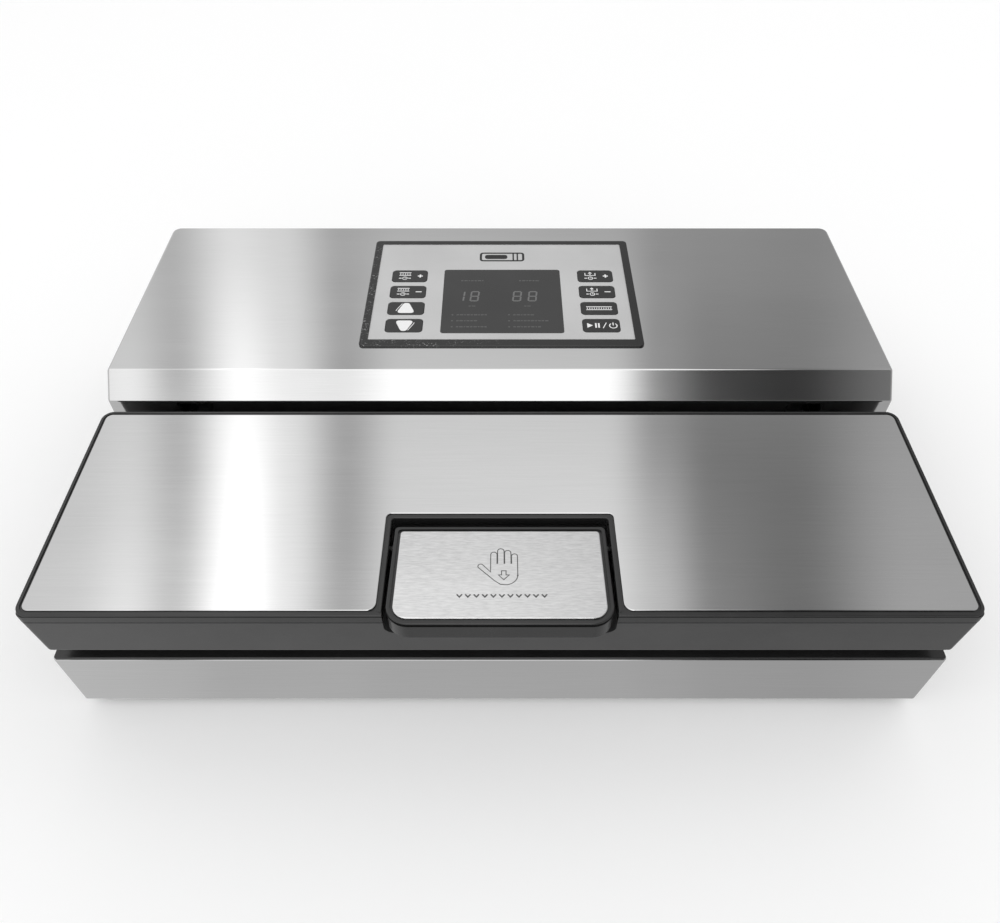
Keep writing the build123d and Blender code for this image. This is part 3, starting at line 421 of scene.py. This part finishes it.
def mark(name, body, material, place, filled=(), lines=(), thickness=0.05):
    """Thin raised print in the plane of the matrix place: filled outlines and ribbon lines."""
    above, below = thickness * PROUD, -thickness
    mesh = bpy.data.meshes.new(name)
    form = bmesh.new()

    def add(point, height):
        return form.verts.new(place @ Vector((point[0] * MM, point[1] * MM, height * MM)))

    for outline in filled:
        low = [add(point, below) for point in outline]
        high = [add(point, above) for point in outline]
        form.faces.new(high)
        form.faces.new(low[::-1])
        for i in range(len(outline)):
            j = (i + 1) % len(outline)
            form.faces.new((low[i], low[j], high[j], high[i]))
    for left, right, closed in lines:
        rows = [(add(one, below), add(one, above), add(other, above), add(other, below))
                for one, other in zip(left, right)]
        count = len(rows)
        for i in range(count if closed else count - 1):
            row, following = rows[i], rows[(i + 1) % count]
            for k in range(4):
                j = (k + 1) % 4
                form.faces.new((row[k], following[k], following[j], row[j]))
        if not closed:
            form.faces.new(rows[0])
            form.faces.new(rows[-1][::-1])
    bmesh.ops.recalc_face_normals(form, faces=form.faces)
    form.to_mesh(mesh)
    form.free()
    mesh.materials.append(material)
    piece = bpy.data.objects.new(name, mesh)
    scene.collection.objects.link(piece)
    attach(piece, body)


def top_of(node):
    """A matrix at the middle of a node's top."""
    low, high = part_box(node)
    return Matrix.Translation(((low.x + high.x) / 2, (low.y + high.y) / 2, high.z))


def plus(x, y, size, width):
    """A cross bar with an upright half above it and one below."""
    arm, reach = (size - width) / 2, (size + width) / 4
    return [box_outline(x, y, size, width), box_outline(x, y + reach, width, arm),
            box_outline(x, y - reach, width, arm)]


def clock(x, y, radius):
    """A small clock face: ring and two hands."""
    return [ribbon(arc(x, y, radius, 0, 345, 22), 0.5, True),
            ribbon([(x, y - 0.1), (x, y + radius * 0.62)], 0.45),
            ribbon([(x - 0.1, y), (x + radius * 0.52, y)], 0.45)]


def seam(x, y, width):
    """A sealed seam: two bars with stitches of heat between."""
    bars = [box_outline(x, y + 1.6, width, 0.7), box_outline(x, y - 1.6, width, 0.7)]
    count = int(width / 1.6)
    return bars + [box_outline(x - width / 2 + width * (i + 0.5) / count, y, 0.6, 1.3) for i in range(count)]


def suction(x, y):
    """A bag outline with an arrow that leaves it."""
    bag = ribbon([(x - 3.6, y + 1.2), (x - 3.6, y - 1.7), (x + 3.6, y - 1.7), (x + 3.6, y + 1.2)], 0.6)
    shaft = ribbon([(x, y - 0.9), (x, y + 1.0)], 0.7)
    return [bag, shaft], [[(x - 1.5, y + 0.6), (x + 1.5, y + 0.6), (x, y + 2.4)]]


def timer_row(x, y):
    """A small clock with a bar on each side."""
    return [box_outline(x - 3.3, y, 1.9, 0.8), box_outline(x + 3.3, y, 1.9, 0.8)], clock(x, y, 1.6)


# ---- keys: what they set on the left of each, more or less on the right
subject_x, subject_y, timer_y, sign_x = -3.4, 2.4, -2.6, 7.4
for subject in ("seal", "vacuum"):
    for way in ("more", "less"):
        node = f"key_{subject}_{way}"
        symbol = plus(sign_x, 0.0, 3.6, 1.1) if way == "more" else [box_outline(sign_x, 0.0, 4.2, 0.9)]
        bars, dial = timer_row(subject_x, timer_y)
        strokes, heads = [], seam(subject_x, subject_y, 8.4)
        if subject == "vacuum":
            strokes, heads = suction(subject_x, subject_y)
        mark(node + "_legend", node + "_body", white_ink, top_of(node),
             filled=symbol + bars + heads, lines=strokes + dial)
mark("key_seal_only_legend", "key_seal_only_body", white_ink, top_of("key_seal_only"),
     filled=seam(0.0, 0.0, 17.6))

for node, way in (("key_up", 1), ("key_down", -1)):
    arrow = rounded([(-6.4, -5.2 * way), (6.4, -5.2 * way), (1.8, 5.8 * way), (-1.8, 5.8 * way)], 3.4)
    edge = ribbon([(-6.7 * way, -3.0 * way), (-6.1 * way, -1.2 * way), (-2.9 * way, 5.0 * way)], 0.5)
    mark(node + "_legend", node + "_body", white_ink, top_of(node), filled=[arrow], lines=[edge])

play = [(-9.4, -2.5), (-5.6, 0.0), (-9.4, 2.5)]
pause = [box_outline(x, 0.0, 1.1, 4.8) for x in (-3.6, -1.6)]
slash = ribbon([(1.0, -2.9), (3.6, 2.9)], 0.6)
power = [ribbon(arc(8.0, -0.3, 2.5, 125, 415, 20), 0.7), ribbon([(8.0, 0.0), (8.0, 3.0)], 0.7)]
mark("key_start_legend", "key_start_body", white_ink, top_of("key_start"),
     filled=[play, *pause], lines=[slash, *power])

# ---- display: unlit digits and indicator marks behind the window's surface
window = top_of("display_window")
window_low, window_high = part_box("display_window")
window_x = (window_low.x + window_high.x) / 2
window_y = (window_low.y + window_high.y) / 2


def moved(points, x, y):
    """The points, carried by x and y."""
    return [(px + x, py + y) for px, py in points]


def slanted(points, lean=0.09):
    """The points, leant to the right as they rise."""
    return [(x + lean * y, y) for x, y in points]


def digit(x, y, lit, width=6.3, height=11.6, bar=1.15):
    """The lit bars of one slanted seven-segment digit."""
    half_bar = bar / 2
    side, end = width / 2 - half_bar, height / 2 - half_bar
    inner, shoulder = side - half_bar, end - half_bar + 0.1
    flat = [(-inner, half_bar), (-side, 0), (-inner, -half_bar),
            (inner, -half_bar), (side, 0), (inner, half_bar)]
    upright = [(-half_bar, half_bar + 0.15), (0, 0.1), (half_bar, half_bar + 0.15),
               (half_bar, shoulder), (0, end), (-half_bar, shoulder)]
    hanging = [(px, -py) for px, py in upright]
    bars = {"a": moved(flat, 0, end), "d": moved(flat, 0, -end), "g": flat,
            "b": moved(upright, side, 0), "f": moved(upright, -side, 0),
            "c": moved(hanging, side, 0), "e": moved(hanging, -side, 0)}
    return [moved(slanted(bars[name]), x, y) for name in lit]


all_bars = "abcdefg"
digit_y = 83.0
digit_shapes = []
for digit_x, lit in ((-27.6, "bc"), (-17.6, all_bars), (11.9, all_bars), (22.6, all_bars)):
    digit_shapes += digit(digit_x - window_x / MM, digit_y - window_y / MM, lit)
mark("display_digits", "base", segment_ink, window, filled=digit_shapes, thickness=0.04)


def dashes(left, right, y, height=1.1, gap=0.6):
    """A row of short faint bars of uneven length."""
    lengths = (1.6, 2.4, 1.1, 2.0)
    row, x = [], left
    while x < right:
        length = lengths[len(row) % len(lengths)]
        row.append(box_outline(x + length / 2, y, length, height))
        x += length + gap
    return row


top_row_y, unit_row_y = 22.5, -6.6
first_row_y, row_pitch = -16.2, 6.4
indicators = dashes(-29.0, -13.0, top_row_y) + dashes(12.0, 26.0, top_row_y)
indicators += dashes(-23.0, -18.0, unit_row_y, 0.9) + dashes(15.0, 20.0, unit_row_y, 0.9)
for row, (left_end, right_end) in enumerate(((-10.0, 21.0), (-17.0, 30.0), (-11.0, 26.0))):
    y = first_row_y - row_pitch * row
    indicators += dashes(-31.0, left_end, y) + dashes(7.5, right_end, y)
    indicators += [arc(dot_x, y, 0.7, 0, 330, 11) for dot_x in (-33.8, 4.6)]
mark("display_indicators", "base", faint_ink, window, filled=indicators, thickness=0.04)

# ---- a plain bag sign on the silver film, above the window
overlay_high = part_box("panel_overlay")[1]
film = Matrix.Translation((window_x, (window_high.y + overlay_high.y) / 2, overlay_high.z))
bag_outline = ribbon(rounded(box_outline(0.0, 0.0, 31.0, 9.6), 2.2), 1.6, True)
bag_seams = [ribbon([(x, 4.4), (x, -4.4)], 1.1) for x in (8.2, 11.2)]
bag_contents = rounded(box_outline(-4.3, 0.0, 16.5, 5.2), 2.4)
mark("panel_sign", "base", dark_ink, film, lines=[bag_outline, *bag_seams], filled=[bag_contents])

# ---- hand and arrow on the press plate
plate = frame["nodes"]["handle_plate"]
faces_up = [face for face in plate.data.polygons if face.normal.z > 0.9]
top_face = max(faces_up, key=lambda face: face.area)
normal = top_face.normal.copy()
plate_low, plate_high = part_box("handle_plate")
across = Vector((1.0, 0.0, 0.0))
up_plate = normal.cross(across).normalized()
face_point = plate.data.vertices[top_face.vertices[0]].co
mid_y = (plate_low.y + plate_high.y) / 2
mid_z = face_point.z - normal.y / normal.z * (mid_y - face_point.y)
plate_place = Matrix.Translation((0.0, mid_y, mid_z)) @ Matrix(
    ((across.x, up_plate.x, normal.x, 0), (across.y, up_plate.y, normal.y, 0),
     (across.z, up_plate.z, normal.z, 0), (0, 0, 0, 1)))


def finger(left, right, valley, tip):
    """Up one side of a finger, round its tip and down to the valley."""
    radius = (right - left) / 2
    return [(left, valley)] + arc(left + radius, tip - radius, radius, 180, 0, 10) + [(right, valley)]


hand_x, hand_y = 1.4, 4.5
palm_left, palm_right = -6.4, 8.0
finger_spans = ((palm_left, -3.0, 9.6), (-2.7, 0.8, 12.0), (1.1, 4.5, 10.8), (4.8, palm_right, 8.4))
hand = [(palm_left, -1.0)]
for left, right, tip in finger_spans:
    hand += finger(left, right, 1.8, tip)
heel_radius, heel_y = 6.5, -6.0
hand[-1] = (palm_right, heel_y)
hand += arc(palm_right - heel_radius, heel_y, heel_radius, 0, -90, 8)
thumb = arc(-11.7, -0.2, 1.5, 215, 30, 8)
hand += [(-1.2, -12.2), (-4.2, -9.9)] + thumb + [(palm_left, -4.0)]
down_arrow = [(-1.2, -3.2), (1.2, -3.2), (1.2, -6.0), (2.9, -6.0), (0.0, -9.2), (-2.9, -6.0), (-1.2, -6.0)]
hand_lines = [ribbon(moved(hand, hand_x, hand_y), 0.5, True),
              ribbon(moved(down_arrow, hand_x + 0.6, hand_y), 0.5, True)]

chevron_pitch, chevron_x, chevron_y = 4.4, 1.0, -14.2
chevron = [(-1.4, 0.0), (0.0, -1.7), (1.4, 0.0)]
chevrons = [ribbon(moved(chevron, chevron_pitch * i + chevron_x, chevron_y), 0.8) for i in range(-5, 6)]
mark("press_sign", "handle", plate_ink, plate_place, lines=hand_lines + chevrons)


# ---------------------------------------------------------------- studio

floor_mesh = bpy.data.meshes.new("floor")
grid = bmesh.new()
bmesh.ops.create_grid(grid, x_segments=8, y_segments=8, size=6.0)
grid.to_mesh(floor_mesh)
grid.free()
floor = bpy.data.objects.new("floor", floor_mesh)
scene.collection.objects.link(floor)
paper = Surface("floor_paper", grey(0.93), 0.9)
paper.colour(paper.blend(paper.noise(paper.place, 3.0, 2.0), grey(0.925), grey(0.935)))
floor_mesh.materials.append(paper.material)
floor.visible_glossy = False

# The room as the polished sheet sees it: upright lamp strips and the gaps between them. Stops are the X of a
# direction of length 1, from left to right, and each wall gives the brightness at every stop.
span, gain = 0.75, 3.0
stops = (-0.75, -0.46, -0.41, -0.365, -0.30, -0.25, -0.185, -0.12, 0.13, 0.19, 0.25, 0.34, 0.45, 0.75)
low_wall = (0.85, 0.90, 0.90, 0.68, 1.18, 1.05, 0.60, 0.68, 0.60, 0.44, 0.42, 0.38, 0.48, 0.50)
mid_wall = (0.80, 0.92, 1.10, 0.70, 1.90, 1.25, 0.55, 0.98, 0.96, 0.45, 0.28, 0.26, 0.55, 0.62)
high_wall = (0.95, 1.15, 1.48, 0.95, 2.20, 1.35, 0.60, 1.10, 1.15, 0.80, 0.35, 0.24, 0.60, 0.62)
near_wall = (0.85, 1.10, 1.45, 0.70, 1.80, 1.40, 1.30, 1.75, 1.80, 0.35, 0.08, 0.05, 0.28, 0.45)
table_glow = (0.74, 0.74, 0.71, 0.68, 0.62, 0.62, 0.62, 0.59, 0.57, 0.54, 0.50, 0.48, 0.52, 0.55)

world = bpy.data.worlds.new("studio")
scene.world = world
world.use_nodes = True
world.cycles.sampling_method = "NONE"
tree = world.node_tree
tree.nodes.clear()
direction = add_node(tree, "ShaderNodeSeparateXYZ")
tree.links.new(add_node(tree, "ShaderNodeTexCoord").outputs["Generated"], direction.inputs[0])
ahead, up = direction.outputs["Y"], direction.outputs["Z"]
sideways = add_range(tree, direction.outputs["X"], -span, span)


def light_wall(levels):
    """A wall of soft strips across X."""
    made = add_node(tree, "ShaderNodeValToRGB")
    made.color_ramp.interpolation = "EASE"
    elements = made.color_ramp.elements
    while len(elements) < len(levels):
        elements.new(1.0)
    for element, x, level in zip(elements, stops, levels):
        element.position = (x + span) / (2 * span)
        element.color = (*grey(level / gain), 1.0)
    tree.links.new(sideways, made.inputs["Fac"])
    return made.outputs["Color"]


def world_fade(value, low, high, first, second):
    """The first colour below low, the second above high."""
    return add_mix(tree, add_range(tree, value, low, high), first, second)


# the table's edge is near Z = 0, the walls change twice as they rise, and a lamp hangs straight overhead
overhead = add_node(tree, "ShaderNodeRGB")
overhead.outputs[0].default_value = (*grey(1.7 / gain), 1.0)
wall_behind = world_fade(up, 0.53, 0.71, light_wall(low_wall), light_wall(mid_wall))
wall_behind = world_fade(up, 0.71, 0.82, wall_behind, light_wall(high_wall))
walls = world_fade(ahead, -0.25, 0.05, light_wall(near_wall), wall_behind)
room = world_fade(up, -0.06, 0.10, light_wall(table_glow), walls)
room = world_fade(up, 0.94, 0.965, room, overhead.outputs[0])
reflected = add_node(tree, "ShaderNodeBackground", Strength=gain)
tree.links.new(room, reflected.inputs["Color"])
white = add_node(tree, "ShaderNodeBackground", Color=(1, 1, 1, 1), Strength=1.0)
path = add_node(tree, "ShaderNodeLightPath")


def world_switch(factor, first, second):
    """One background where the factor is 0, the other where it is 1."""
    made = add_node(tree, "ShaderNodeMixShader")
    for socket, value in zip(made.inputs, (factor, first, second)):
        tree.links.new(value, socket)
    return made.outputs[0]


lighting = world_switch(path.outputs["Is Glossy Ray"], white.outputs[0], reflected.outputs[0])
backdrop = world_switch(path.outputs["Is Camera Ray"], lighting, white.outputs[0])
tree.links.new(backdrop, add_node(tree, "ShaderNodeOutputWorld").inputs["Surface"])


def softbox(name, place, power, target=(0.0, 0.0, 0.05), width=1.8, height=1.4):
    """A soft lamp that the polished sheet doesn't mirror."""
    data = bpy.data.lights.new(name, "AREA")
    data.shape = "RECTANGLE"
    data.size, data.size_y = width, height
    data.energy = power
    lamp = bpy.data.objects.new(name, data)
    scene.collection.objects.link(lamp)
    lamp.location = place
    lamp.rotation_euler = (Vector(target) - Vector(place)).to_track_quat("-Z", "Y").to_euler()
    lamp.visible_glossy = False


softbox("key_softbox", (-1.6, -0.9, 2.4), 7.0)
softbox("fill_softbox", (1.6, 0.6, 2.2), 4.0)


# ---------------------------------------------------------------- camera, placed from the lid's front and top

camera_ahead, camera_above, camera_tilt = 0.2206, 0.36464, 41.85
lid_low, lid_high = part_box("lid_frame")
camera_data = bpy.data.cameras.new("camera")
camera_data.sensor_width = 36.0
camera_data.lens = 29.52
camera_data.clip_start = 0.01
camera = bpy.data.objects.new("camera", camera_data)
scene.collection.objects.link(camera)
camera.location = (0.0, lid_low.y - camera_ahead, lid_high.z + camera_above)
camera.rotation_euler = (math.radians(camera_tilt), 0.0, 0.0)
scene.camera = camera
scene.view_settings.view_transform = "Standard"
